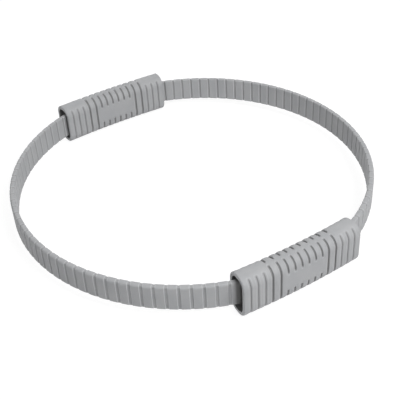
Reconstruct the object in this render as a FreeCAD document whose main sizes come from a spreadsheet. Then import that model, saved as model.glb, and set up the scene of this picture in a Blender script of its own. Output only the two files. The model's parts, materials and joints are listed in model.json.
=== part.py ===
# Pilates ring: two nested spring strips in a ribbed soft cover, clamped in the middle of two hollow grips.
# The ring lies flat. Z is up, the grips stand on Z = 0, and the Z axis is the ring's own axis.
# The front grip is on -Y and the rear grip on +Y. Lengths are millimetres, angles are degrees.
import FreeCAD, Part
import math
import os
import Sketcher

SIZES = {
    # Ribbed cover round the spring strips
    "band_radius": 187.0,
    "band_thickness": 5.5,
    "band_height": 26.8,
    "band_edge_radius": 1.0,
    "rib_angle": 3.4,
    "rib_groove_width": 2.2,
    "rib_groove_depth": 0.7,
    "ribs_per_link": 6,
    "links_per_side": 8,
    "link_slit": 0.4,
    "link_flare": 8.5,
    # Spring strips
    "strip_thickness": 1.0,
    "strip_height": 17.0,
    "strip_split": 3.2,
    "fit_clearance": 0.3,
    # Grip sleeves
    "grip_length": 130.4,
    "grip_height": 44.6,
    "grip_depth": 25.25,
    "grip_wall": 3.0,
    "grip_corner": 11.0,
    "grip_bow_radius": 860.0,
    "grip_groove_pitch": 7.6,
    "deep_groove_pitch": 8.6,
    "deep_groove_width": 3.2,
    "deep_groove_depth": 1.8,
    "end_groove_width": 3.2,
    "end_groove_depth": 1.0,
    "short_groove_width": 3.0,
    "short_groove_depth": 1.6,
    "bare_panel_height": 18.4,
    # Clamp inside each grip
    "saddle_end_gap": 0.9,
    "plate_thickness": 1.6,
    "plate_height": 15.0,
    "plate_end_gap": 4.0,
    "screw_diameter": 3.0,
    "screw_end_gap": 2.8,
    "screw_head_diameter": 5.8,
    "screw_head_recess": 0.15,
    "screw_socket_flats": 2.0,
    "screw_socket_depth": 0.9,
    "nut_flats": 5.5,
    "nut_thickness": 2.4,
    "thread_clearance": 0.1,
}
FULL_TURN = 360.0
HALF_TURN = 180.0
QUARTER_TURN = 90.0
DEGREES_PER_RADIAN = HALF_TURN / math.pi
SCREWS_PER_CLAMP = 4
DEEP_GROOVES = 2
END_GROOVES = 3
SHORT_GROOVES = 6
HEX_SIDES = 6
HEX_CORNER = 1.0 / math.cos(math.radians(30.0))
CUT_MARGIN = 1.0
LEAST_HALF_FLAT = 0.5
ORIGIN = -1
X_AXIS_LINE = -1
Y_AXIS_LINE = -2
START = 1
END = 2
CENTRE = 3


class Size:
    """A number together with the sheet expression that gives it."""

    def __init__(self, value, text):
        self.value = value
        self.text = text

    def __add__(self, other):
        other = as_size(other)
        return Size(self.value + other.value, f"({self.text} + {other.text})")

    def __sub__(self, other):
        other = as_size(other)
        return Size(self.value - other.value, f"({self.text} - {other.text})")

    def __mul__(self, other):
        other = as_size(other)
        return Size(self.value * other.value, f"({self.text} * {other.text})")

    def __truediv__(self, other):
        other = as_size(other)
        return Size(self.value / other.value, f"({self.text} / {other.text})")

    def __rsub__(self, other):
        return as_size(other) - self

    def __neg__(self):
        return Size(-self.value, f"(0 - {self.text})")

    __radd__ = __add__
    __rmul__ = __mul__


def as_size(number):
    """A plain number as a size that no sheet cell drives."""
    return number if isinstance(number, Size) else Size(float(number), str(float(number)))


def sine(angle):
    return Size(math.sin(math.radians(angle.value)), f"sin({angle.text})")


def tangent(angle):
    return Size(math.tan(math.radians(angle.value)), f"tan({angle.text})")


def smaller(first, second):
    return Size(min(first.value, second.value), f"min({first.text}; {second.text})")


def make_sheet(document):
    """Puts the driving dimensions in a sheet and gives each back as a size."""
    sheet = document.addObject("Spreadsheet::Sheet", "sizes")
    for row, (alias, number) in enumerate(SIZES.items(), start=1):
        sheet.set(f"A{row}", alias)
        sheet.set(f"B{row}", str(number))
        sheet.setAlias(f"B{row}", alias)
    document.recompute()
    return {alias: Size(float(sheet.get(alias)), f"sizes.{alias}") for alias in SIZES}


doc = FreeCAD.newDocument("pilates_ring")
size = make_sheet(doc)

# Sizes that follow from the driving ones
band_half_thickness = size["band_thickness"] / 2
band_half_height = size["band_height"] / 2
leaf_inside = size["fit_clearance"] / 2
leaf_outside = leaf_inside + size["strip_thickness"]
channel_half_thickness = leaf_outside + size["fit_clearance"]
channel_half_height = size["strip_height"] / 2 + size["fit_clearance"]
link_angle = size["rib_angle"] * size["ribs_per_link"]
side_angle = link_angle * size["links_per_side"]
anchor_angle = (HALF_TURN - side_angle) / 2
screw_pitch = anchor_angle / 2
first_screw = -(screw_pitch * ((SCREWS_PER_CLAMP - 1) / 2))
plate_inside = size["band_radius"] + channel_half_thickness
plate_outside = plate_inside + size["plate_thickness"]
bore_outside = plate_outside + size["fit_clearance"]
grip_outside = bore_outside + size["grip_wall"]
grip_middle = grip_outside - size["grip_depth"] / 2
grip_half_depth = size["grip_depth"] / 2
grip_half_height = size["grip_height"] / 2
grip_corner = smaller(size["grip_corner"], grip_half_depth - LEAST_HALF_FLAT)
bore_inside = grip_outside - size["grip_depth"] + size["grip_wall"]
bore_half_height = grip_half_height - size["grip_wall"]
bore_corner = grip_corner - size["grip_wall"]
screw_head_top = plate_outside - size["screw_head_recess"]
screw_tip = bore_inside + size["screw_end_gap"]
screw_radius = size["screw_diameter"] / 2
screw_head_radius = size["screw_head_diameter"] / 2
screw_neck = screw_head_top - (screw_head_radius - screw_radius)
hole_radius = screw_radius + size["fit_clearance"]
nut_tip_inset = size["thread_clearance"]
nut_inside = screw_tip + nut_tip_inset
nut_outside = nut_inside + size["nut_thickness"]
nut_circumradius = size["nut_flats"] / 2 * HEX_CORNER


def bind(feature, name, amount):
    """Sets one property from a size and ties it to the sheet."""
    setattr(feature, name, amount.value)
    feature.setExpression(name, amount.text)


def new_body(label):
    body = doc.addObject("PartDesign::Body", label)
    body.Label = label
    body.AllowCompound = True
    return body


def origin_feature(body, role):
    """One of the body's own origin planes or axes."""
    return next(item for item in body.Origin.OriginFeatures if item.Role == role)


def attach(feature, body, role, turn=None, turn_axis=(0, 1, 0)):
    """Lays a sketch or primitive on an origin plane, turned about one of that plane's directions."""
    feature.AttachmentSupport = (origin_feature(body, role), [""])
    feature.MapMode = "FlatFace"
    if turn is None:
        return
    backward = turn.value < 0
    axis = FreeCAD.Vector(*turn_axis) * (-1 if backward else 1)
    amount = -turn if backward else turn
    feature.AttachmentOffset = FreeCAD.Placement(FreeCAD.Vector(), FreeCAD.Rotation(axis, amount.value))
    feature.setExpression("AttachmentOffset.Rotation.Angle", amount.text)


def new_sketch(body, name, role, turn=None, turn_axis=(0, 1, 0)):
    sketch = body.newObject("Sketcher::SketchObject", name)
    attach(sketch, body, role, turn, turn_axis)
    return sketch


def pin(sketch, kind, edge, point, amount):
    """Fixes one coordinate of a sketch point at a size."""
    axis_line = Y_AXIS_LINE if kind == "DistanceX" else X_AXIS_LINE
    if amount.value == 0:
        sketch.addConstraint(Sketcher.Constraint("PointOnObject", edge, point, axis_line))
        return
    ends = (ORIGIN, START, edge, point)
    if amount.value < 0:
        ends = (edge, point, ORIGIN, START)
        amount = -amount
    index = sketch.addConstraint(Sketcher.Constraint(kind, *ends, amount.value))
    sketch.setExpression(f"Constraints[{index}]", amount.text)


def round_edge(sketch, start, finish, centre):
    """Adds the arc from start to finish and says which of its ends is which."""
    radius = (start - centre).Length
    circle = Part.Circle(centre, FreeCAD.Vector(0, 0, 1), radius)
    angles = [math.atan2(end.y - centre.y, end.x - centre.x) for end in (start, finish)]
    anticlockwise = (start - centre).cross(finish - centre).z > 0
    if not anticlockwise:
        angles.reverse()
    index = sketch.addGeometry(Part.ArcOfCircle(circle, angles[0], angles[1]))
    return (index, START, END) if anticlockwise else (index, END, START)


def outline(sketch, corners):
    """Draws a closed wire through corners (x, y), or (x, y, centre x, centre y) where an arc leaves one."""
    corners = [tuple(as_size(amount) for amount in corner) for corner in corners]
    points = [FreeCAD.Vector(corner[0].value, corner[1].value, 0) for corner in corners]
    edges = []
    for corner, start, finish in zip(corners, points, points[1:] + points[:1]):
        if len(corner) == 2:
            edges.append((sketch.addGeometry(Part.LineSegment(start, finish)), START, END))
            continue
        centre = FreeCAD.Vector(corner[2].value, corner[3].value, 0)
        edges.append(round_edge(sketch, start, finish, centre))
        pin(sketch, "DistanceX", edges[-1][0], CENTRE, corner[2])
    for before, after in zip(edges, edges[1:] + edges[:1]):
        sketch.addConstraint(Sketcher.Constraint("Coincident", before[0], before[2], after[0], after[1]))
    for edge, corner in zip(edges, corners):
        pin(sketch, "DistanceX", edge[0], edge[1], corner[0])
        pin(sketch, "DistanceY", edge[0], edge[1], corner[1])


def rectangle(sketch, left, right, half_height):
    low = -half_height
    outline(sketch, [(left, low), (right, low), (right, half_height), (left, half_height)])


def rounded_rectangle(sketch, left, right, half_height, corner):
    """An upright rectangle, even about the sketch's X axis, with four equal round corners."""
    straight = half_height - corner
    near = left + corner
    far = right - corner
    outline(sketch, [
        (right, -straight), (right, straight, far, straight),
        (far, half_height), (near, half_height, near, straight),
        (left, straight), (left, -straight, near, -straight),
        (near, -half_height), (far, -half_height, far, -straight)])


def revolve(body, sketch, kind="Revolution", angle=as_size(FULL_TURN), own_axis=False):
    """Turns a sketch evenly to both sides of its plane, about the body's Z axis or its own X axis."""
    feature = body.newObject(f"PartDesign::{kind}", f"{sketch.Name}_turn")
    feature.Profile = sketch
    feature.ReferenceAxis = (sketch, ["H_Axis"]) if own_axis else (origin_feature(body, "Z_Axis"), [""])
    feature.Midplane = True
    bind(feature, "Angle", angle)
    return feature


def extrude(body, sketch, kind, length):
    """Pads or pockets a sketch evenly to both sides of its plane."""
    feature = body.newObject(f"PartDesign::{kind}", f"{sketch.Name}_{kind.lower()}")
    feature.Profile = sketch
    feature.SideType = "Symmetric"
    bind(feature, "Length", length)
    return feature


def primitive(body, kind, name, turn, **amounts):
    """A cylinder or prism that starts at the ring's axis and points outward at an angle."""
    feature = body.newObject(f"PartDesign::{kind}", name)
    attach(feature, body, "YZ_Plane", turn)
    for key, amount in amounts.items():
        bind(feature, key, amount)
    return feature


def pattern(body, features, spacing, count):
    """Repeats features round the body's Z axis."""
    feature = body.newObject("PartDesign::PolarPattern", f"{features[0].Name}_pattern")
    feature.Originals = features
    feature.Axis = (origin_feature(body, "Z_Axis"), [""])
    feature.Mode = "Spacing"
    bind(feature, "Offset", spacing)
    count = as_size(count)
    feature.Occurrences = int(count.value)
    feature.setExpression("Occurrences", count.text)
    body.Tip = feature
    return feature


def place(piece, turn, forward=None):
    """Turns a piece about the ring's axis, lifts it to the band's height and slides it along Y."""
    backward = turn.value < 0
    axis = FreeCAD.Vector(0, 0, -1 if backward else 1)
    amount = -turn if backward else turn
    piece.Placement = FreeCAD.Placement(FreeCAD.Vector(), FreeCAD.Rotation(axis, amount.value))
    piece.setExpression("Placement.Rotation.Angle", amount.text)
    piece.setExpression("Placement.Base.z", grip_half_height.text)
    if forward is not None:
        piece.setExpression("Placement.Base.y", forward.text)
    return piece


def placed_copy(label, form, turn, forward=None):
    """One piece of a kind that the ring holds several of: the form's solids in their own place."""
    piece = doc.addObject("Part::Compound", label)
    piece.Label = label
    piece.Links = [form]
    return place(piece, turn, forward)


def cover_link(label):
    """A stretch of the soft cover: ribs on all four sides, a channel for the strips, ends free to bend."""
    body = new_body(label)
    section = new_sketch(body, f"{label}_section", "XZ_Plane")
    middle = size["band_radius"]
    rounded_rectangle(section, middle - band_half_thickness, middle + band_half_thickness,
                      band_half_height, size["band_edge_radius"])
    rectangle(section, middle - channel_half_thickness, middle + channel_half_thickness, channel_half_height)
    revolve(body, section, angle=link_angle)

    ends = new_sketch(body, f"{label}_ends", "XY_Plane", -(link_angle / 2), (0, 0, 1))
    waist = size["link_slit"] / 2
    reach = band_half_thickness + CUT_MARGIN
    flare = waist + reach * tangent(size["link_flare"])
    outline(ends, [
        (middle - reach, -flare), (middle, -waist), (middle + reach, -flare),
        (middle + reach, flare), (middle, waist), (middle - reach, flare)])
    end_cut = extrude(body, ends, "Pocket", size["band_height"] + 2 * CUT_MARGIN)
    pattern(body, [end_cut], link_angle, 2)

    groove = new_sketch(body, f"{label}_groove", "XZ_Plane", -(link_angle / 2))
    depth = size["rib_groove_depth"]
    rectangle(groove, middle - reach, middle + reach, band_half_height + CUT_MARGIN)
    rounded_rectangle(groove, middle - band_half_thickness + depth, middle + band_half_thickness - depth,
                      band_half_height - depth, size["band_edge_radius"] - depth)
    groove_cut = extrude(body, groove, "Pocket", size["rib_groove_width"])
    pattern(body, [groove_cut], size["rib_angle"], size["ribs_per_link"] + 1)
    return body


def spring_strip(label, inside, split_turn):
    """A hoop of spring steel, open at one grip, with holes for the clamp screws of both grips."""
    body = new_body(label)
    section = new_sketch(body, f"{label}_section", "XZ_Plane")
    rectangle(section, inside, inside + size["strip_thickness"], size["strip_height"] / 2)
    split_angle = size["strip_split"] / size["band_radius"] * DEGREES_PER_RADIAN
    revolve(body, section, angle=FULL_TURN - split_angle)
    for end, offset in (("open", HALF_TURN), ("closed", 0.0)):
        hole = primitive(body, "SubtractiveCylinder", f"{label}_{end}_hole", first_screw + offset,
                         Radius=hole_radius, Height=plate_outside)
        pattern(body, [hole], screw_pitch, SCREWS_PER_CLAMP)
    return place(body, split_turn)


def groove_profile(sketch, side, depth):
    """A long groove's cut: over the top corner, down the face and under the bottom corner."""
    middle = size["grip_bow_radius"]
    corner = middle + side * (grip_half_depth - grip_corner)
    floor = middle + side * (grip_half_depth - depth)
    clear = middle + side * (grip_half_depth + CUT_MARGIN)
    straight = grip_half_height - grip_corner
    top = grip_half_height - depth
    above = grip_half_height + CUT_MARGIN
    outline(sketch, [
        (corner, top, corner, straight), (floor, straight), (floor, -straight, corner, -straight),
        (corner, -top), (corner, -above), (clear, -above), (clear, above), (corner, above)])


def short_groove_profile(sketch, side, upward, depth):
    """A short groove's cut: round one corner and down to the edge of the bare panel."""
    middle = size["grip_bow_radius"]
    corner = middle + side * (grip_half_depth - grip_corner)
    floor = middle + side * (grip_half_depth - depth)
    clear = middle + side * (grip_half_depth + CUT_MARGIN)
    straight = upward * (grip_half_height - grip_corner)
    top = upward * (grip_half_height - depth)
    above = upward * (grip_half_height + CUT_MARGIN)
    panel = upward * (size["bare_panel_height"] / 2)
    outline(sketch, [
        (corner, top, corner, straight), (floor, straight), (floor, panel),
        (clear, panel), (clear, above), (corner, above)])


def end_groove_profile(sketch, side, depth):
    """A shallow groove's cut: straight down the face, running out on the round corners."""
    middle = size["grip_bow_radius"]
    floor = middle + side * (grip_half_depth - depth)
    clear = middle + side * (grip_half_depth + CUT_MARGIN)
    rectangle(sketch, *sorted((floor, clear), key=lambda edge: edge.value), grip_half_height)


def along_grip(distance):
    """The turn about the bow's axis that goes a distance along the grip."""
    return distance / size["grip_bow_radius"] * DEGREES_PER_RADIAN


def groove_row(body, name, first_place, pitch, count, width, profiles):
    """A row of equal grooves along the grip, its first place counted from the grip's middle."""
    sketch = new_sketch(body, f"{body.Label}_{name}", "XZ_Plane", along_grip(first_place))
    for draw, choices in profiles:
        draw(sketch, **choices)
    cut = extrude(body, sketch, "Pocket", width)
    pattern(body, [cut], along_grip(pitch), count)


def grip_sleeve(label):
    """A hollow soft sleeve, bowed a little like the ring, open at both ends, grooved on both faces."""
    body = new_body(label)
    section = new_sketch(body, f"{label}_section", "XZ_Plane")
    middle = size["grip_bow_radius"]
    wall = size["grip_wall"]
    rounded_rectangle(section, middle - grip_half_depth, middle + grip_half_depth,
                      grip_half_height, grip_corner)
    rounded_rectangle(section, middle - grip_half_depth + wall, middle + grip_half_depth - wall,
                      bore_half_height, bore_corner)
    revolve(body, section, angle=along_grip(size["grip_length"]))

    faces = (-1, 1)
    short_depth = size["short_groove_depth"]
    short_profiles = [
        (short_groove_profile, {"side": side, "upward": upward, "depth": short_depth})
        for side in faces for upward in (-1, 1)]
    deep_profiles = [(groove_profile, {"side": side, "depth": size["deep_groove_depth"]}) for side in faces]
    end_profiles = [(end_groove_profile, {"side": side, "depth": size["end_groove_depth"]}) for side in faces]
    pitch = size["grip_groove_pitch"]
    deep_pitch = size["deep_groove_pitch"]
    last_short = pitch * ((SHORT_GROOVES - 1) / 2)
    first_deep = last_short + pitch
    last_deep = first_deep + deep_pitch * (DEEP_GROOVES - 1)
    first_end = last_deep + pitch
    last_end = first_end + pitch * (END_GROOVES - 1)
    short_width = size["short_groove_width"]
    deep_width = size["deep_groove_width"]
    end_width = size["end_groove_width"]
    groove_row(body, "short", -last_short, pitch, SHORT_GROOVES, short_width, short_profiles)
    for hand, deep_start, end_start in (("left", -last_deep, -last_end), ("right", first_deep, first_end)):
        groove_row(body, f"deep_{hand}", deep_start, deep_pitch, DEEP_GROOVES, deep_width, deep_profiles)
        groove_row(body, f"end_{hand}", end_start, pitch, END_GROOVES, end_width, end_profiles)
    return body


def saddle(label):
    """A moulded block that fills the bowed bore behind the strips, with a seat, screw holes and nut traps."""
    body = new_body(label)
    half_length = size["band_radius"] * sine(anchor_angle) - size["saddle_end_gap"]
    bow = half_length * half_length / (size["grip_bow_radius"] * 2)
    back = bore_inside + size["fit_clearance"]
    edge = bore_outside - size["fit_clearance"] - bow
    half_height = bore_half_height - size["fit_clearance"]
    section = new_sketch(body, f"{label}_section", "XZ_Plane")
    rounded_rectangle(section, back, edge, half_height, bore_corner - size["fit_clearance"])
    extrude(body, section, "Pad", half_length * 2)

    front = size["band_radius"]
    face = new_sketch(body, f"{label}_face", "XZ_Plane")
    rectangle(face, front, edge + CUT_MARGIN, half_height + CUT_MARGIN)
    extrude(body, face, "Pocket", half_length * 2 + 2 * CUT_MARGIN)

    seat = new_sketch(body, f"{label}_seat", "XZ_Plane")
    seat_radius = size["band_radius"] - channel_half_thickness
    rectangle(seat, seat_radius, front + half_length, channel_half_height)
    revolve(body, seat, "Groove")

    hole = primitive(body, "SubtractiveCylinder", f"{label}_hole", first_screw,
                     Radius=hole_radius, Height=plate_outside)
    trap_circumradius = nut_circumradius + size["thread_clearance"] * HEX_CORNER
    trap = primitive(body, "SubtractivePrism", f"{label}_nut_trap", first_screw,
                     Circumradius=trap_circumradius, Height=nut_outside)
    trap.Polygon = HEX_SIDES
    pattern(body, [hole, trap], screw_pitch, SCREWS_PER_CLAMP)
    return body


def clamp_plate(label):
    """A curved steel plate outside the strips, countersunk for the clamp screws."""
    body = new_body(label)
    section = new_sketch(body, f"{label}_section", "XZ_Plane")
    rectangle(section, plate_inside, plate_outside, size["plate_height"] / 2)
    end_gap_angle = size["plate_end_gap"] / size["band_radius"] * DEGREES_PER_RADIAN
    revolve(body, section, angle=(anchor_angle - end_gap_angle) * 2)

    hole = new_sketch(body, f"{label}_hole", "XZ_Plane", first_screw)
    mouth = screw_head_radius + size["screw_head_recess"] + size["thread_clearance"]
    bore = screw_radius + size["thread_clearance"]
    outline(hole, [
        (plate_inside - CUT_MARGIN, 0), (plate_outside + CUT_MARGIN, 0),
        (plate_outside + CUT_MARGIN, mouth + CUT_MARGIN), (plate_outside - (mouth - bore), bore),
        (plate_inside - CUT_MARGIN, bore)])
    hole_cut = revolve(body, hole, "Groove", own_axis=True)
    pattern(body, [hole_cut], screw_pitch, SCREWS_PER_CLAMP)
    return body


def clamp_screws(label):
    """Four countersunk socket screws, driven from outside the ring."""
    body = new_body(label)
    profile = new_sketch(body, f"{label}_profile", "XZ_Plane", first_screw)
    outline(profile, [
        (screw_tip, 0), (screw_head_top, 0), (screw_head_top, screw_head_radius),
        (screw_neck, screw_radius), (screw_tip, screw_radius)])
    screw = revolve(body, profile, own_axis=True)
    socket = new_sketch(body, f"{label}_socket", "XZ_Plane", first_screw)
    socket_floor = screw_head_top - size["screw_socket_depth"]
    half_flats = size["screw_socket_flats"] / 2
    rectangle(socket, socket_floor, screw_head_top + CUT_MARGIN, half_flats)
    socket_cut = extrude(body, socket, "Pocket", size["screw_socket_flats"])
    pattern(body, [screw, socket_cut], screw_pitch, SCREWS_PER_CLAMP)
    return body


def clamp_nuts(label):
    """Four hexagon nuts in the saddle's traps."""
    body = new_body(label)
    blank = primitive(body, "AdditivePrism", f"{label}_blank", first_screw,
                      Circumradius=nut_circumradius, Height=nut_outside)
    blank.Polygon = HEX_SIDES
    inside = primitive(body, "SubtractivePrism", f"{label}_inside", first_screw,
                       Circumradius=nut_circumradius * 2, Height=nut_inside)
    inside.Polygon = HEX_SIDES
    bore = primitive(body, "SubtractiveCylinder", f"{label}_bore", first_screw,
                     Radius=screw_radius + size["thread_clearance"], Height=plate_outside)
    pattern(body, [blank, inside, bore], screw_pitch, SCREWS_PER_CLAMP)
    return body


def build_pieces():
    """Every piece of the ring, each with its own label and place."""
    quarter = as_size(QUARTER_TURN)
    pieces = [
        spring_strip("inner_spring_strip", size["band_radius"] - leaf_outside, quarter),
        spring_strip("outer_spring_strip", size["band_radius"] + leaf_inside, -quarter)]
    clamp_forms = {
        maker.__name__: maker(f"{maker.__name__}_form")
        for maker in (saddle, clamp_plate, clamp_screws, clamp_nuts)}
    sleeve_form = grip_sleeve("grip_sleeve_form")
    sleeve_shift = grip_middle - size["grip_bow_radius"]
    for end, turn, shift in (("front", -quarter, -sleeve_shift), ("rear", quarter, sleeve_shift)):
        pieces.append(placed_copy(f"{end}_grip_sleeve", sleeve_form, turn, shift))
        for kind, form in clamp_forms.items():
            pieces.append(placed_copy(f"{end}_{kind}", form, turn))
    link_form = cover_link("cover_link_form")
    for number in range(1, int(size["links_per_side"].value) + 1):
        right_turn = side_angle / 2 - link_angle * (number - 0.5)
        left_turn = (HALF_TURN if right_turn.value > 0 else -HALF_TURN) - right_turn
        pieces.append(placed_copy(f"right_cover_{number}", link_form, right_turn))
        pieces.append(placed_copy(f"left_cover_{number}", link_form, left_turn))
    return pieces


def check_model(pieces):
    """Stops on any failed feature, or on a piece that is empty or not a valid solid."""
    failed = [item.Name for item in doc.Objects if {"Invalid", "Error"} & set(item.State)]
    if failed:
        raise RuntimeError("failed features: " + ", ".join(failed))
    for piece in pieces:
        if piece.Shape.isNull() or not piece.Shape.isValid() or not piece.Shape.Solids:
            raise RuntimeError("no valid solid in " + piece.Label)


def write_pieces(pieces):
    os.makedirs("parts", exist_ok=True)
    for piece in pieces:
        piece.Shape.exportStep(f"parts/{piece.Label}.step")
        print(piece.Label, len(piece.Shape.Solids), "solids", round(piece.Shape.Volume, 1), "mm3")


ring_pieces = build_pieces()
doc.recompute()
check_model(ring_pieces)
write_pieces(ring_pieces)
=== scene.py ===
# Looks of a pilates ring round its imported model: ribbed cover, grips, spring strips and clamps.
# Lengths are metres and angles radians. The ring lies flat on Z = 0 round the Z axis, with its
# front grip on -Y.
import json
import math
from collections import namedtuple

import bpy
import numpy as np
from mathutils import Matrix, Vector

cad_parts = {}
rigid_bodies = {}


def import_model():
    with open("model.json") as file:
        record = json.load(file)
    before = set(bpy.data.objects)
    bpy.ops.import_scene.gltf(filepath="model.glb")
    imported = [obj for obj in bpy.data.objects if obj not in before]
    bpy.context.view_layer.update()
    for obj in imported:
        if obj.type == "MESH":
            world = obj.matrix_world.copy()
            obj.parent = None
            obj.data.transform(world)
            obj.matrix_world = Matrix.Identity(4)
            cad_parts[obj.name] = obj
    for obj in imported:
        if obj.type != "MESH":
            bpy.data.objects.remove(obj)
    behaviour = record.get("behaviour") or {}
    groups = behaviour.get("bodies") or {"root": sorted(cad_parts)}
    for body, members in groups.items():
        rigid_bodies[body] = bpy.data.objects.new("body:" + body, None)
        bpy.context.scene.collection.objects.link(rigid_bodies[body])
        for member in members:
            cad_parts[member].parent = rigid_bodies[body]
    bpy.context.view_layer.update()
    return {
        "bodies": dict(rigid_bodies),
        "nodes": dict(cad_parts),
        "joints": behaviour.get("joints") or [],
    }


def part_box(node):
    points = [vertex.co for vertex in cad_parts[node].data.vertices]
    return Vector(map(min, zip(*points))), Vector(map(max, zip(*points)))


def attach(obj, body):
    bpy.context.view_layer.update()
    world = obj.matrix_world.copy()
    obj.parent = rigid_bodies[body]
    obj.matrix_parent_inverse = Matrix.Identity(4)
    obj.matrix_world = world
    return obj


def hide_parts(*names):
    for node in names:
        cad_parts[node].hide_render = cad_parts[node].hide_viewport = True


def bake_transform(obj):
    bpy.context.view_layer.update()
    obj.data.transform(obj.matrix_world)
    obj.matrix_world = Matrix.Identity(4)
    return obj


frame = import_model()
MM = 0.001
HALF_TURN = math.pi
QUARTER_TURN = math.pi / 2

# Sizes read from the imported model
first_hinge = Vector(frame["joints"][0]["pos_m"])
cover_low, cover_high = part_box("left_cover_4")
grip_low, grip_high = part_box("front_grip_sleeve")
BAND_RADIUS = first_hinge.xy.length
MIDDLE_Z = first_hinge.z
ANCHOR_ANGLE = math.atan2(-first_hinge.x, first_hinge.y)
LINKS = sum(name.startswith("left_cover") for name in frame["bodies"])
LINK_ANGLE = (HALF_TURN - 2 * ANCHOR_ANGLE) / LINKS
BAND_HALF_HEIGHT = (cover_high.z - cover_low.z) / 2
BAND_HALF_THICKNESS = -cover_low.x - BAND_RADIUS
GRIP_HALF_HEIGHT = (grip_high.z - grip_low.z) / 2

# Ribbed cover. The rubbed edges, paler by wear and by a painted highlight, lie so many half widths
# from the middle of a rib groove.
RIBS_PER_LINK = 6
RIB_ANGLE = LINK_ANGLE / RIBS_PER_LINK
OUTER_EDGE_RADIUS = 2.2 * MM
INNER_EDGE_RADIUS = 1.2 * MM
# A rib groove's dust share darkens its floor with dust and painted shade.
RibGroove = namedtuple("RibGroove", "width floor_share depth fade dust")
OUTER_RIB_GROOVE = RibGroove(width=3.6 * MM, floor_share=0.48, depth=1.25 * MM, fade=4, dust=0.11)
INNER_RIB_GROOVE = RibGroove(width=3.2 * MM, floor_share=0.2, depth=1.15 * MM, fade=1, dust=0.37)
RIB_GROOVE_TOP_DEPTH = 0.25 * MM
RUBBED_AND_HIGHLIGHT_PLACE = 0.95
RUBBED_AND_HIGHLIGHT_SPREAD = 0.13
CHANNEL_HALF_THICKNESS = 1.45 * MM
CHANNEL_HALF_HEIGHT = 8.8 * MM
CHANNEL_EDGE_RADIUS = 0.3 * MM

# Spring strips
STRIP_THICKNESS = 1.0 * MM
STRIP_HALF_HEIGHT = 8.5 * MM
STRIP_EDGE_RADIUS = 0.25 * MM
STRIP_OFFSET = 0.65 * MM
STRIP_SPLIT = 3.2 * MM
CLAMP_END_GAP = 0.25 * MM
SCREW_HOLE_RADIUS = 1.8 * MM
SCREW_HOLE_REACH = 4 * MM
SCREWS_PER_CLAMP = 4

# Grip sleeves
GRIP_LENGTH = 130.4 * MM
GRIP_HALF_DEPTH = 25.25 * MM / 2
GRIP_CORNER = 11.0 * MM
GRIP_STRAIGHT = GRIP_HALF_HEIGHT - GRIP_CORNER
GRIP_WALL = 3.0 * MM
GRIP_BOW_RADIUS = 860.0 * MM
GRIP_MIDDLE = -grip_low.y - GRIP_HALF_DEPTH
RIM_OUTER_RADIUS = 1.0 * MM
RIM_INNER_RADIUS = 0.5 * MM
RIM_WALL = 3.8 * MM
RIM_FACE_START = GRIP_LENGTH / 2 - RIM_INNER_RADIUS / 2
# Painted shade: the band is darkened inside the grips' mouths, from just outside each mouth
# inwards.
MOUTH_SHADE_START = GRIP_LENGTH / 2 + 1.2 * MM
MOUTH_SHADE_SINE = math.sqrt(1 - (MOUTH_SHADE_START / BAND_RADIUS) ** 2)
MOUTH_SHADE_REACH = 0.004

# Grip grooves. They end at angles round the grip's corner. Shoulders and lips are placed by half
# widths from a groove's middle.
OUTER_FACE = 1
INNER_FACE = -1
GrooveForm = namedtuple("GrooveForm", "width top_share floor_share depth")
Groove = namedtuple("Groove", "place face first last form")
SHORT_FORM = GrooveForm(width=3.0 * MM, top_share=0.9, floor_share=0.5, depth=1.8 * MM)
DEEP_FORM = GrooveForm(width=3.2 * MM, top_share=0.95, floor_share=0.5, depth=1.9 * MM)
SHALLOW_FORM = GrooveForm(width=3.8 * MM, top_share=0.95, floor_share=0.12, depth=1.35 * MM)
SHORT_GROOVES = 3
DEEP_GROOVES = 2
SHALLOW_GROOVES = 3
GROOVE_PITCH = 7.6 * MM
DEEP_GROOVE_PITCH = 8.6 * MM
BARE_PANEL_HALF_HEIGHT = 9.2 * MM
SHORT_GROOVE_START = BARE_PANEL_HALF_HEIGHT + SHORT_FORM.width / 2
LONG_END_ANGLE = {OUTER_FACE: math.radians(76), INNER_FACE: math.radians(86)}
SHALLOW_END_ANGLE = {OUTER_FACE: math.radians(52), INNER_FACE: math.radians(40)}
SHOULDER_SHARE = 0.25
SHOULDER_REACH = 0.5
LIP_PLACE = 1.2
LIP_SPREAD = 0.25
# Share of dust and painted shade in the grips' grooves: deeper grooves are darker.
GROOVE_DUST_AND_SHADE = 0.74
UNDERSIDE_FADE = 0.65
UNDERSIDE_FADE_ANGLE = math.radians(55)

# Mesh steps: face, corner and top of a section's quarter, rows beside grooves in half widths from
# their middles, and rows on a rib's face as shares of its pitch
GRIP_STEPS = (14, 22, 2)
BAND_STEPS = (4, 6, 1)
STRIP_STEPS = (4, 2, 1)
GROOVE_SIDE = np.array([0.0, 0.08, 0.2, 0.35, 0.45, 0.5, 0.53, 0.6, 0.7, 0.84, 1.0, 1.2, 1.45])
GROOVE_ROWS = np.concatenate([-GROOVE_SIDE[:0:-1], GROOVE_SIDE])
RIDGE_ROWS = np.array([-1, 0, 1]) * GROOVE_PITCH / 6
RIM_ROWS = 8
BORE_ROWS = 14
RIB_SIDE = np.array([0.0, 0.13, 0.2, 0.28, 0.41, 0.48, 0.55, 0.75, 0.9, 1.0, 1.08, 1.25])
RIB_ROWS = np.concatenate([-RIB_SIDE[:0:-1], RIB_SIDE])
FACE_ROWS = np.array([0.32, 0.44, 0.56, 0.68])
CLEAR_OF_GROOVE = 2
CHANNEL_ROWS_PER_RIB = 2
STRIP_ROW_ANGLE = math.radians(1.5)
SCREW_HOLE_SIDES = 32
SHARP_EDGE = math.radians(50)

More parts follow.
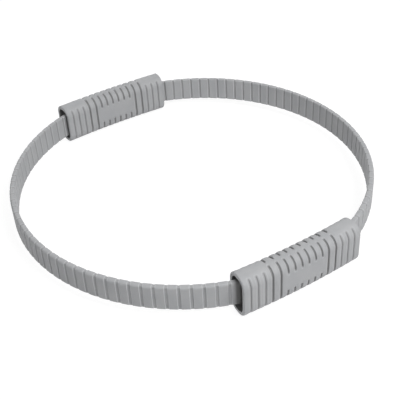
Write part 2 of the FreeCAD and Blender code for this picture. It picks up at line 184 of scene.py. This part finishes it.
# Rubber: grey level, grain to the metre and how much paler rubbed edges are, by wear and a painted
# highlight
RUBBER_LEVEL = 0.39
GRIP_GRAIN = 1500.0
GRIP_RUBBED_AND_HIGHLIGHT_GAIN = 1.22
COVER_GRAIN = 1900.0
COVER_RUBBED_AND_HIGHLIGHT_GAIN = 1.6

# Studio: the floor's glow changes from its near to its far level between two distances
FLOOR_HALF_WIDTH = 8.0
FLOOR_LEVEL = 0.8
FLOOR_SHADOW_SHARE = 0.2
NEAR_GLOW = 1.08 - FLOOR_SHADOW_SHARE
NEAR_GLOW_END = 0.5
FAR_GLOW = 1.0
FAR_GLOW_START = 2.0
WORLD_LEVEL = 0.06
SoftBox = namedtuple("SoftBox", "name place width power")
SOFT_BOXES = (
    SoftBox("key_light", Vector((0.25, -1.0, 1.2)), width=1.0, power=20.8),
    SoftBox("top_light", Vector((-0.2, 0.3, 1.6)), width=1.2, power=6.8),
    SoftBox("left_light", Vector((-1.3, -0.5, 0.8)), width=0.9, power=3.0),
    SoftBox("back_light", Vector((0.5, 1.4, 0.7)), width=1.0, power=5.0))

# View of the photograph. Its width and the camera's focus are in pixels.
PHOTO_WIDTH = 400
CAMERA_AZIMUTH = math.radians(-30.64)
CAMERA_ELEVATION = math.radians(37.01)
CAMERA_ROLL = math.radians(-3.58)
CAMERA_DISTANCE = 0.821
CAMERA_FOCUS = 805.3
CAMERA_TARGET = Vector((-0.01705, -0.0432, MIDDLE_Z))
SENSOR_WIDTH = 36.0


# Swept forms
Section = namedtuple("Section", "depth height out_depth out_height way")


def rounded_section(half_depth, half_height, corner, steps):
    """A closed upright rounded rectangle: points, outward directions and ways from mid-face."""
    face_steps, corner_steps, top_steps = steps
    straight = half_height - corner
    flat = half_depth - corner
    face = np.linspace(0, straight, face_steps, endpoint=False)
    turn = np.linspace(0, QUARTER_TURN, corner_steps, endpoint=False)
    top = np.linspace(flat, 0, top_steps + 1)
    angle = np.concatenate([0 * face, turn, QUARTER_TURN + 0 * top])
    depth = np.concatenate([half_depth + 0 * face, flat + corner * np.cos(turn), top])
    height = np.concatenate([face, straight + corner * np.sin(turn), half_height + 0 * top])
    top_way = straight + corner * QUARTER_TURN + flat - top
    way = np.concatenate([face, straight + corner * turn, top_way])
    quarter = np.stack([depth, height, np.cos(angle), np.sin(angle), way])
    ahead = quarter[:, :-1]
    back = quarter[:, :0:-1]
    far_side = np.array([[-1], [1], [-1], [1], [1]])
    below = np.array([[1], [-1], [1], [-1], [1]])
    quarters = [ahead, back * far_side, ahead * far_side * below, back * below]
    return Section(*np.concatenate(quarters, axis=1))


def swept(section, inset, angle, radius, centre_y=0.0):
    """Points of a section carried round an upright axis, each sunk in by its inset."""
    reach = radius + section.depth - inset * section.out_depth
    height = MIDDLE_Z + section.height - inset * section.out_height
    x = reach * np.cos(angle)
    y = centre_y + reach * np.sin(angle)
    return np.stack(np.broadcast_arrays(x, y, height), axis=-1)


def smooth_step(share):
    """Rise from 0 to 1 that starts and ends level."""
    share = np.clip(share, 0, 1)
    return share * share * (3 - 2 * share)


def round_shoulder(share):
    """Drop from 1 to 0 like a quarter circle, steep at first and level with the skin at its end."""
    return 1 - np.sqrt(1 - np.clip(1 - share, 0, 1) ** 2)


def make_piece(name, points, material, slot, closed_rows, **marks):
    """A mesh piece from rows of section points. Its rows close on themselves or end in caps."""
    rows, columns = points.shape[:2]
    index = np.arange(rows * columns).reshape(rows, columns)
    here = index if closed_rows else index[:-1]
    ahead = np.roll(index, -1, axis=0) if closed_rows else index[1:]
    corners = [here, ahead, np.roll(ahead, -1, axis=1), np.roll(here, -1, axis=1)]
    faces = np.stack(corners, axis=-1).reshape(-1, 4).tolist()
    if not closed_rows:
        faces += [index[0].tolist(), index[-1, ::-1].tolist()]
    mesh = bpy.data.meshes.new(name)
    mesh.from_pydata(points.reshape(-1, 3).tolist(), [], faces)
    for mark, amounts in marks.items():
        attribute = mesh.attributes.new(mark, "FLOAT", "POINT")
        values = np.broadcast_to(amounts, (rows, columns)).ravel().astype(np.float32)
        attribute.data.foreach_set("value", values)
    mesh.shade_smooth()
    mesh.set_sharp_from_angle(angle=SHARP_EDGE)
    mesh.materials.append(material)
    piece = bpy.data.objects.new(name, mesh)
    bpy.context.scene.collection.objects.link(piece)
    return piece


# Grip sleeves
def grip_grooves():
    """A grip's grooves, each with its place along the grip, its face and its ways from mid-face."""
    grooves = []
    for face in (OUTER_FACE, INNER_FACE):
        long_end = GRIP_STRAIGHT + GRIP_CORNER * LONG_END_ANGLE[face]
        shallow_end = GRIP_STRAIGHT + GRIP_CORNER * SHALLOW_END_ANGLE[face]
        short = Groove(None, face, SHORT_GROOVE_START, long_end, SHORT_FORM)
        deep = Groove(None, face, 0, long_end, DEEP_FORM)
        shallow = Groove(None, face, 0, shallow_end, SHALLOW_FORM)
        place = GROOVE_PITCH / 2
        for kind, count, pitch in (
                (short, SHORT_GROOVES, GROOVE_PITCH),
                (deep, DEEP_GROOVES, DEEP_GROOVE_PITCH),
                (shallow, SHALLOW_GROOVES, GROOVE_PITCH)):
            for number in range(count):
                away = place + number * pitch
                grooves += [kind._replace(place=side * away) for side in (-1, 1)]
            place += (count - 1) * pitch + GROOVE_PITCH
    return grooves


def groove_marks(along, section, grooves):
    """Depth of the grooves below a grip's skin, the dust and painted shade in them and the lips
    beside them.
    """
    way_under = np.where(section.height < 0, section.way - GRIP_STRAIGHT, 0)
    faded = UNDERSIDE_FADE * smooth_step(way_under / (GRIP_CORNER * UNDERSIDE_FADE_ANGLE))
    inset = np.zeros((len(along), len(section.way)))
    lip = np.zeros_like(inset)
    for groove in grooves:
        form = groove.form
        over_top = groove.face * section.depth < 0
        way = section.way + over_top * 2 * (section.way.max() - section.way)
        past_end = np.maximum(np.maximum(groove.first - way, way - groove.last), 0)
        risen = smooth_step((way - groove.first) / (groove.last - groove.first))
        half_width = form.width / 2 * (1 - (1 - form.top_share) * risen)
        apart = np.hypot(along - groove.place, past_end) / half_width
        wall = round_shoulder((apart - form.floor_share) / (1 - form.floor_share))
        shoulder = np.exp(-np.maximum(apart - 1, 0) / SHOULDER_REACH)
        drop = (1 - SHOULDER_SHARE) * wall + SHOULDER_SHARE * shoulder
        inset = np.maximum(inset, form.depth * drop)
        lip = np.maximum(lip, np.exp(-((apart - LIP_PLACE) / LIP_SPREAD) ** 2))
    return inset * (1 - faded), GROOVE_DUST_AND_SHADE * inset / DEEP_FORM.depth, lip


def grip_rows(grooves):
    """Rows round a sleeve's wall: along its skin, over a rim, back in the bore, over a rim."""
    skin_end = GRIP_LENGTH / 2 - RIM_OUTER_RADIUS
    bore_end = GRIP_LENGTH / 2 - RIM_INNER_RADIUS
    beside = [groove.place + GROOVE_ROWS * groove.form.width / 2
              for groove in grooves if groove.face == OUTER_FACE]
    pitches = int(GRIP_LENGTH / 2 / GROOVE_PITCH)
    between = np.arange(-pitches, pitches + 1)[:, None] * GROOVE_PITCH + RIDGE_ROWS
    plain = between[np.abs(between) < skin_end].ravel()
    skin = np.unique(np.concatenate([*beside, plain, [-skin_end, skin_end]]))
    turn = np.linspace(0, QUARTER_TURN, RIM_ROWS)[1:]
    rim_inset = np.concatenate([
        RIM_OUTER_RADIUS * (1 - np.cos(turn)),
        RIM_WALL - RIM_INNER_RADIUS + RIM_INNER_RADIUS * np.sin(turn)])
    rim_along = np.concatenate([
        skin_end + RIM_OUTER_RADIUS * np.sin(turn),
        bore_end + RIM_INNER_RADIUS * np.cos(turn)])
    bore = np.linspace(bore_end, -bore_end, BORE_ROWS)[1:-1]
    along = np.concatenate([skin, rim_along, bore, -rim_along[::-1]])
    inset = np.concatenate([0 * skin, rim_inset, GRIP_WALL + 0 * bore, rim_inset[::-1]])
    return along[:, None], inset[:, None], len(skin)


def grip_sleeve(end, facing, material):
    """One moulded sleeve, bowed a little like the ring, with grooves, rounded rims and a bore."""
    section = rounded_section(GRIP_HALF_DEPTH, GRIP_HALF_HEIGHT, GRIP_CORNER, GRIP_STEPS)
    grooves = grip_grooves()
    along, inset, skin_rows = grip_rows(grooves)
    sunk, dusty_and_shaded, lip = groove_marks(along, section, grooves)
    for mark in (sunk, dusty_and_shaded, lip):
        mark[skin_rows:] = 0
    on_rim_face = np.abs(along) > RIM_FACE_START
    # Painted shade: the bore, all but its rim faces, is darkened like a groove's floor.
    dusty_and_shaded += (inset >= GRIP_WALL) & ~on_rim_face
    # Lips and rim faces are painted paler: rubbed wear and a painted highlight.
    rubbed_and_highlit = np.maximum(lip, (inset > 0) & on_rim_face)
    angle = facing * QUARTER_TURN + along / GRIP_BOW_RADIUS
    centre_y = facing * (GRIP_MIDDLE - GRIP_BOW_RADIUS)
    points = swept(section, inset + sunk, angle, GRIP_BOW_RADIUS, centre_y)
    sleeve = make_piece(f"{end}_grip_skin", points, material, "grip_rubber", True,
                        groove=dusty_and_shaded, edge=rubbed_and_highlit)
    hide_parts(f"{end}_grip_sleeve")
    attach(sleeve, f"{end}_grip")


# Band: cover and strips, one piece at each bend
def hinge_angle(travel, number):
    """Angle round the ring of a side's hinge, counted from the rear grip."""
    return QUARTER_TURN + travel * (ANCHOR_ANGLE + LINK_ANGLE * (number - 1))


def band_point(angle):
    """Point on the band's middle line."""
    return Vector((BAND_RADIUS * math.cos(angle), BAND_RADIUS * math.sin(angle), MIDDLE_Z))


def hold_on_band(piece, bodies):
    """Lets a piece of the band move with its one link; a piece at a hinge between two links keeps
    its place and follows neither.
    """
    if len(bodies) == 1:
        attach(piece, bodies[0])
        return
    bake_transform(piece)


def band_section():
    """The cover's section, whose outer edges are rounder than its inner ones."""
    outer, inner = [rounded_section(BAND_HALF_THICKNESS, BAND_HALF_HEIGHT, edge, BAND_STEPS)
                    for edge in (OUTER_EDGE_RADIUS, INNER_EDGE_RADIUS)]
    return Section(*np.where(outer.depth > 0, outer, inner))


def cover_rows(half_width, start, end, ribs):
    """Angles of a cover's rows, and how many half widths each lies from the nearest groove."""
    grooves = np.linspace(start, end, ribs + 1)
    beside = np.concatenate([RIB_ROWS, 0 * FACE_ROWS])
    on_rib = np.concatenate([0 * RIB_ROWS, FACE_ROWS]) * (end - start) / ribs
    angle = (grooves[:, None, None] + on_rib[:, None]
             + beside[:, None] * half_width / BAND_RADIUS)
    angle = angle.reshape(-1, len(half_width))
    apart = np.abs(np.concatenate([RIB_ROWS, 0 * FACE_ROWS + CLEAR_OF_GROOVE]))
    apart = np.tile(apart, ribs + 1)
    middle_row = len(RIB_ROWS) // 2
    kept = slice(middle_row, len(angle) - len(beside) + middle_row + 1)
    return angle[kept], apart[kept, None]


def cover_piece(name, start, end, material):
    """A stretch of the hollow cover from groove to groove, with a groove after each rib."""
    section = band_section()
    channel = rounded_section(
        CHANNEL_HALF_THICKNESS, CHANNEL_HALF_HEIGHT, CHANNEL_EDGE_RADIUS, BAND_STEPS)
    outward = smooth_step((section.depth / BAND_HALF_THICKNESS + 1) / 2)[:, None]
    groove = (1 - outward) * np.array(INNER_RIB_GROOVE) + outward * np.array(OUTER_RIB_GROOVE)
    width, floor_share, face_depth, fade, dust = groove.T
    below_top = (face_depth - RIB_GROOVE_TOP_DEPTH) * np.abs(section.out_depth) ** fade
    depth = RIB_GROOVE_TOP_DEPTH + below_top
    ribs = round((end - start) / RIB_ANGLE)
    angle, apart = cover_rows(width / 2, start, end, ribs)
    sunk = 1 - np.clip((apart - floor_share) / (1 - floor_share), 0, 1)
    skin = swept(section, depth * sunk, angle, BAND_RADIUS)
    channel_angle = np.linspace(end, start, CHANNEL_ROWS_PER_RIB * ribs + 1)[:, None]
    inside = swept(channel, 0.0, channel_angle, BAND_RADIUS)
    points = np.concatenate([skin, inside])
    # Painted shade darkens the band inside the grips' mouths.
    painted_mouth_shade = smooth_step((np.abs(np.sin(angle)) - MOUTH_SHADE_SINE) / MOUTH_SHADE_REACH)
    # Edges beside the rib grooves are painted paler: rubbed wear and a painted highlight.
    rubbed_and_highlit = np.exp(-((apart - RUBBED_AND_HIGHLIGHT_PLACE) / RUBBED_AND_HIGHLIGHT_SPREAD) ** 2)
    plain_inside = ((0, len(inside)), (0, 0))
    return make_piece(name, points, material, "cover_rubber", True,
                      groove=np.pad(np.maximum(dust * sunk, painted_mouth_shade), plain_inside),
                      edge=np.pad(rubbed_and_highlit, plain_inside))


def strip_piece(name, side_of_middle, start, end, material):
    """A stretch of one spring strip."""
    section = rounded_section(
        STRIP_THICKNESS / 2, STRIP_HALF_HEIGHT, STRIP_EDGE_RADIUS, STRIP_STEPS)
    rows = 2 + round((end - start) / STRIP_ROW_ANGLE)
    angle = np.linspace(start, end, rows)[:, None]
    points = swept(section, 0.0, angle, BAND_RADIUS + side_of_middle * STRIP_OFFSET)
    return make_piece(name, points, material, "spring_steel", False)


def hole_cutters(facing):
    """One object that cuts a clamp's holes: a cylinder along the radius at each screw."""
    pitch = ANCHOR_ANGLE / 2
    around = np.linspace(0, 2 * HALF_TURN, SCREW_HOLE_SIDES, endpoint=False)
    ring = np.stack([0 * around, np.cos(around), np.sin(around)], axis=-1) * SCREW_HOLE_RADIUS
    points = []
    faces = []
    for number in range(SCREWS_PER_CLAMP):
        angle = facing * QUARTER_TURN + pitch * (number - (SCREWS_PER_CLAMP - 1) / 2)
        hole = Matrix.Translation(band_point(angle)) @ Matrix.Rotation(angle, 4, "Z")
        base = len(points)
        for step in (-SCREW_HOLE_REACH, SCREW_HOLE_REACH):
            points += [hole @ Vector(point + [step, 0, 0]) for point in ring]
        low = list(range(base, base + SCREW_HOLE_SIDES))
        high = list(range(base + SCREW_HOLE_SIDES, base + 2 * SCREW_HOLE_SIDES))
        faces += [low[::-1], high]
        faces += [(low[i - 1], low[i], high[i], high[i - 1]) for i in range(SCREW_HOLE_SIDES)]
    mesh = bpy.data.meshes.new("hole_cutters")
    mesh.from_pydata(points, [], faces)
    cutters = bpy.data.objects.new("hole_cutters", mesh)
    bpy.context.scene.collection.objects.link(cutters)
    return cutters


def drill(piece, facing):
    """Cuts the clamp screws' holes through a strip's clamped stretch."""
    cutters = hole_cutters(facing)
    cut = piece.modifiers.new("screw_holes", "BOOLEAN")
    cut.object = cutters
    bpy.context.view_layer.update()
    drilled = piece.evaluated_get(bpy.context.evaluated_depsgraph_get())
    mesh = bpy.data.meshes.new_from_object(drilled)
    piece.modifiers.clear()
    piece.data = mesh
    bpy.data.objects.remove(cutters)


def build_side(side, travel, strips, cover_material, strip_material):
    """The cover and both strips along one side of the ring."""
    for number in range(1, LINKS + 2):
        hinge = hinge_angle(travel, number)
        links = [link for link in (number - 1, number) if 1 <= link <= LINKS]
        bodies = [f"{side}_cover_{link}" for link in links]
        before = hinge - travel * LINK_ANGLE / 2 if number > 1 else hinge
        after = hinge + travel * LINK_ANGLE / 2 if number <= LINKS else hinge
        start, end = sorted((before, after))
        cover = cover_piece(f"{side}_cover_bend_{number}", start, end, cover_material)
        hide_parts(*bodies)
        hold_on_band(cover, bodies)
        for name, side_of_middle in strips.items():
            strip = strip_piece(f"{name}_strip_{side}_bend_{number}", side_of_middle,
                                start, end, strip_material)
            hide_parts(f"{name}_spring_strip")
            hold_on_band(strip, bodies)


def build_clamped_strips(grip, facing, split_strip, strips, material):
    """Both strips' stretches inside one grip, where one of them has its split."""
    half_split = STRIP_SPLIT / BAND_RADIUS / 2
    half_clamped = ANCHOR_ANGLE - CLAMP_END_GAP / BAND_RADIUS
    middle = facing * QUARTER_TURN
    for name, side_of_middle in strips.items():
        stretches = {"clamped": (middle - half_clamped, middle + half_clamped)}
        if name == split_strip:
            stretches = {
                "clamped_end_1": (middle - half_clamped, middle - half_split),
                "clamped_end_2": (middle + half_split, middle + half_clamped)}
        for stretch, (start, end) in stretches.items():
            strip = strip_piece(f"{name}_strip_{grip}_{stretch}", side_of_middle,
                                start, end, material)
            drill(strip, facing)
            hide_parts(f"{name}_spring_strip")
            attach(strip, f"{grip}_grip")


def build_band(cover_material, strip_material):
    """The cover and both strips along the two sides, and the strips' stretches in the grips."""
    strips = {"inner": -1, "outer": 1}
    for side, travel in (("left", 1), ("right", -1)):
        build_side(side, travel, strips, cover_material, strip_material)
    for grip, facing, split_strip in (("front", -1, "inner"), ("rear", 1, "outer")):
        build_clamped_strips(grip, facing, split_strip, strips, strip_material)


# Materials
class Surface:
    """A node material with a principled shader, and short ways to add nodes to it."""

    def __init__(self, name, **settings):
        self.material = bpy.data.materials.new(name)
        self.material.use_nodes = True
        self.tree = self.material.node_tree
        self.shader = self.tree.nodes["Principled BSDF"]
        self.place = self.add("ShaderNodeTexCoord").outputs["Object"]
        for socket, amount in settings.items():
            self.shader.inputs[socket.replace("_", " ")].default_value = amount

    def add(self, kind, inputs=(), **settings):
        node = self.tree.nodes.new(kind)
        for setting, choice in settings.items():
            setattr(node, setting, choice)
        for socket, source in dict(inputs).items():
            self.feed(node.inputs[socket], source)
        return node

    def feed(self, socket, source):
        if isinstance(source, bpy.types.NodeSocket):
            self.tree.links.new(source, socket)
        else:
            socket.default_value = source

    def drive(self, socket, source):
        self.feed(self.shader.inputs[socket], source)

    def noise(self, scale, detail=4.0, stretch=(1, 1, 1)):
        """Noise at a number of features to the metre, drawn out along axes of small stretch."""
        mapping = self.add("ShaderNodeMapping", {"Vector": self.place, "Scale": stretch})
        inputs = {"Vector": mapping.outputs["Vector"], "Scale": scale, "Detail": detail}
        return self.add("ShaderNodeTexNoise", inputs).outputs["Fac"]

    def spread(self, source, low, high, from_low=0.0, from_high=1.0):
        """A source's range from from_low to from_high, mapped to the one from low to high."""
        inputs = {
            "Value": source,
            "From Min": from_low,
            "From Max": from_high,
            "To Min": low,
            "To Max": high}
        return self.add("ShaderNodeMapRange", inputs).outputs["Result"]

    def mark(self, name):
        """Amount of one of a mesh's own marks."""
        return self.add("ShaderNodeAttribute", attribute_name=name).outputs["Fac"]

    def shade(self, share, first, second):
        """Colour between two others by a share from 0 to 1."""
        node = self.add("ShaderNodeMix", data_type="RGBA")
        self.feed(node.inputs["Factor"], share)
        self.feed(node.inputs["A"], first)
        self.feed(node.inputs["B"], second)
        return node.outputs["Result"]

    def bump(self, height, distance, strength):
        inputs = {"Height": height, "Distance": distance, "Strength": strength}
        node = self.add("ShaderNodeBump", inputs)
        self.drive("Normal", node.outputs["Normal"])


def grey(level, warm=0.0):
    """A grey that is a little warm, or cool where warm is below zero."""
    return (level * (1 + warm), level * (1 + warm / 3), level * (1 - warm), 1.0)


def soft_rubber(name, level, grain, rubbed_and_highlight_gain):
    """Matte moulded rubber: faint mottling, fine grain, dust and painted shade in grooves, lips
    rubbed paler with a painted highlight.
    """
    dark_mottle = grey(level * 0.965, warm=-0.024)
    pale_mottle = grey(level * 1.03, warm=-0.016)
    speck = grey(level * 0.86, warm=-0.02)
    dust = grey(level * 0.45, warm=0.01)
    rubbed_and_highlit = grey(level * rubbed_and_highlight_gain, warm=-0.02)
    surface = Surface(name, IOR=1.5, Specular_IOR_Level=0.35, Sheen_Weight=0.06,
                      Sheen_Roughness=0.5)
    mottled = surface.spread(surface.noise(55.0), 0.0, 1.0, from_low=0.35, from_high=0.65)
    colour = surface.shade(mottled, dark_mottle, pale_mottle)
    speckled = surface.noise(1400.0, detail=2.0)
    speckled = surface.spread(speckled, 0.0, 0.35, from_low=0.56, from_high=0.7)
    colour = surface.shade(speckled, colour, speck)
    # Groove mark: dust and painted shade.
    colour = surface.shade(surface.spread(surface.mark("groove"), 0.0, 0.95), colour, dust)
    # Edge mark: paler by rubbed wear and a painted highlight.
    colour = surface.shade(surface.spread(surface.mark("edge"), 0.0, 0.6), colour, rubbed_and_highlit)
    surface.drive("Base Color", colour)
    roughness = surface.spread(surface.noise(160.0), 0.52, 0.68, from_low=0.3, from_high=0.7)
    surface.drive("Roughness", roughness)
    surface.bump(surface.noise(grain, detail=3.0), distance=0.12 * MM, strength=0.35)
    return surface.material


def spring_steel():
    """Blued rolled strip: fine lines along it and straw to blue heat colours."""
    blue = (0.10, 0.115, 0.15, 1)
    straw = (0.17, 0.15, 0.135, 1)
    bright = (0.28, 0.28, 0.30, 1)
    surface = Surface("spring_steel", Metallic=1.0)
    heat = surface.spread(surface.noise(30.0), 0.0, 1.0, from_low=0.3, from_high=0.7)
    lines = surface.noise(1.0, detail=5.0, stretch=(60, 60, 4500))
    colour = surface.shade(heat, blue, straw)
    colour = surface.shade(surface.spread(lines, 0.0, 0.4), colour, bright)
    surface.drive("Base Color", colour)
    surface.drive("Roughness", surface.spread(lines, 0.28, 0.45))
    surface.bump(lines, distance=0.02 * MM, strength=0.3)
    return surface.material


def nylon():
    """Black glass-filled nylon: dull, with flow marks and pale fibre flecks."""
    black = (0.012, 0.012, 0.014, 1)
    flow_mark = (0.03, 0.03, 0.033, 1)
    fibre = (0.09, 0.09, 0.095, 1)
    surface = Surface("saddle_nylon", IOR=1.53)
    flow = surface.noise(25.0, detail=5.0, stretch=(1, 1, 3))
    flecks = surface.noise(2600.0, detail=1.0)
    flecks = surface.spread(flecks, 0.0, 0.5, from_low=0.62, from_high=0.72)
    colour = surface.shade(flow, black, flow_mark)
    surface.drive("Base Color", surface.shade(flecks, colour, fibre))
    surface.drive("Roughness", surface.spread(flow, 0.45, 0.62))
    surface.bump(surface.noise(1200.0, detail=3.0), distance=0.05 * MM, strength=0.3)
    return surface.material


def zinc_steel():
    """Zinc-plated steel: bright, slightly blue, with dull handling stains."""
    zinc = (0.56, 0.58, 0.62, 1)
    stain = (0.42, 0.42, 0.40, 1)
    surface = Surface("clamp_steel", Metallic=1.0)
    stained = surface.noise(120.0, detail=5.0)
    stained = surface.spread(stained, 0.0, 1.0, from_low=0.4, from_high=0.65)
    surface.drive("Base Color", surface.shade(stained, zinc, stain))
    surface.drive("Roughness", surface.spread(stained, 0.24, 0.42))
    surface.bump(surface.noise(1800.0, detail=2.0), distance=0.02 * MM, strength=0.25)
    return surface.material


def dress_clamps():
    """Gives the clamps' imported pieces, which keep their shapes, their finished materials."""
    nylon_material = nylon()
    steel_material = zinc_steel()
    for end in ("front", "rear"):
        for kind in ("saddle", "clamp_plate", "clamp_screws", "clamp_nuts"):
            materials = frame["nodes"][f"{end}_{kind}"].data.materials
            materials.clear()
            materials.append(nylon_material if kind == "saddle" else steel_material)


# Studio
def white_to_camera(tree, lit, shown):
    """Mixes two shaders: one for rays that light the object, one for rays that show the ground."""
    path = tree.nodes.new("ShaderNodeLightPath")
    seen = path.outputs["Is Camera Ray"]
    for kind in ("Is Glossy Ray", "Is Transmission Ray"):
        either = tree.nodes.new("ShaderNodeMath")
        either.operation = "MAXIMUM"
        tree.links.new(seen, either.inputs[0])
        tree.links.new(path.outputs[kind], either.inputs[1])
        seen = either.outputs[0]
    mix = tree.nodes.new("ShaderNodeMixShader")
    tree.links.new(seen, mix.inputs[0])
    tree.links.new(lit, mix.inputs[1])
    tree.links.new(shown, mix.inputs[2])
    return mix.outputs[0]


def floor_glow(tree):
    """White glow that takes the place of the light on the floor that the shadow leaves out."""
    place = tree.nodes.new("ShaderNodeTexCoord")
    distance = tree.nodes.new("ShaderNodeVectorMath")
    distance.operation = "LENGTH"
    tree.links.new(place.outputs["Object"], distance.inputs[0])
    strength = tree.nodes.new("ShaderNodeMapRange")
    strength.inputs["From Min"].default_value = NEAR_GLOW_END
    strength.inputs["From Max"].default_value = FAR_GLOW_START
    strength.inputs["To Min"].default_value = NEAR_GLOW
    strength.inputs["To Max"].default_value = FAR_GLOW
    tree.links.new(distance.outputs["Value"], strength.inputs["Value"])
    glow = tree.nodes.new("ShaderNodeEmission")
    tree.links.new(strength.outputs["Result"], glow.inputs["Strength"])
    return glow.outputs[0]


def floor_material():
    """A white floor that keeps a share of the object's shadow."""
    material = bpy.data.materials.new("studio_floor")
    material.use_nodes = True
    tree = material.node_tree
    tree.nodes.remove(tree.nodes["Principled BSDF"])
    matte = tree.nodes.new("ShaderNodeBsdfDiffuse")
    matte.inputs["Color"].default_value = grey(FLOOR_LEVEL)
    shadowed = tree.nodes.new("ShaderNodeBsdfDiffuse")
    shadowed.inputs["Color"].default_value = grey(FLOOR_SHADOW_SHARE)
    both = tree.nodes.new("ShaderNodeAddShader")
    tree.links.new(shadowed.outputs[0], both.inputs[0])
    tree.links.new(floor_glow(tree), both.inputs[1])
    shown = white_to_camera(tree, matte.outputs[0], both.outputs[0])
    tree.links.new(shown, tree.nodes["Material Output"].inputs["Surface"])
    return material


def build_floor():
    half = FLOOR_HALF_WIDTH
    mesh = bpy.data.meshes.new("studio_floor")
    corners = [(-half, -half, 0), (half, -half, 0), (half, half, 0), (-half, half, 0)]
    mesh.from_pydata(corners, [], [(0, 1, 2, 3)])
    mesh.materials.append(floor_material())
    floor = bpy.data.objects.new("studio_floor", mesh)
    bpy.context.scene.collection.objects.link(floor)


def build_world():
    world = bpy.data.worlds.new("studio")
    world.use_nodes = True
    tree = world.node_tree
    lit = tree.nodes["Background"]
    lit.inputs["Color"].default_value = grey(1.0)
    lit.inputs["Strength"].default_value = WORLD_LEVEL
    white = tree.nodes.new("ShaderNodeBackground")
    white.inputs["Color"].default_value = grey(1.0)
    shown = white_to_camera(tree, lit.outputs[0], white.outputs[0])
    tree.links.new(shown, tree.nodes["World Output"].inputs["Surface"])
    bpy.context.scene.world = world


def build_lights():
    """Square lamps that face the ring."""
    for box in SOFT_BOXES:
        lamp = bpy.data.lights.new(box.name, "AREA")
        lamp.size = box.width
        lamp.energy = box.power
        light = bpy.data.objects.new(box.name, lamp)
        light.location = box.place
        towards_ring = Vector((0, 0, MIDDLE_Z)) - light.location
        light.rotation_euler = towards_ring.to_track_quat("-Z", "Y").to_euler()
        bpy.context.scene.collection.objects.link(light)


def build_camera():
    level = math.cos(CAMERA_ELEVATION)
    back = Vector((
        math.sin(CAMERA_AZIMUTH) * level,
        -math.cos(CAMERA_AZIMUTH) * level,
        math.sin(CAMERA_ELEVATION)))
    right = Vector((math.cos(CAMERA_AZIMUTH), math.sin(CAMERA_AZIMUTH), 0))
    up = back.cross(right)
    leaning_right = right * math.cos(CAMERA_ROLL) + up * math.sin(CAMERA_ROLL)
    leaning_up = up * math.cos(CAMERA_ROLL) - right * math.sin(CAMERA_ROLL)
    data = bpy.data.cameras.new("photo_view")
    data.sensor_width = SENSOR_WIDTH
    data.lens = CAMERA_FOCUS * SENSOR_WIDTH / PHOTO_WIDTH
    camera = bpy.data.objects.new("photo_view", data)
    turned = Matrix((leaning_right, leaning_up, back)).transposed().to_4x4()
    camera.matrix_world = Matrix.Translation(CAMERA_TARGET + back * CAMERA_DISTANCE) @ turned
    bpy.context.scene.collection.objects.link(camera)
    bpy.context.scene.camera = camera


build_camera()
build_floor()
build_world()
build_lights()
grip_material = soft_rubber("grip_rubber", RUBBER_LEVEL, GRIP_GRAIN, GRIP_RUBBED_AND_HIGHLIGHT_GAIN)
grip_sleeve("front", -1, grip_material)
grip_sleeve("rear", 1, grip_material)
cover_material = soft_rubber("cover_rubber", RUBBER_LEVEL, COVER_GRAIN, COVER_RUBBED_AND_HIGHLIGHT_GAIN)
build_band(cover_material, spring_steel())
dress_clamps()
bpy.context.scene.view_settings.view_transform = "Standard"
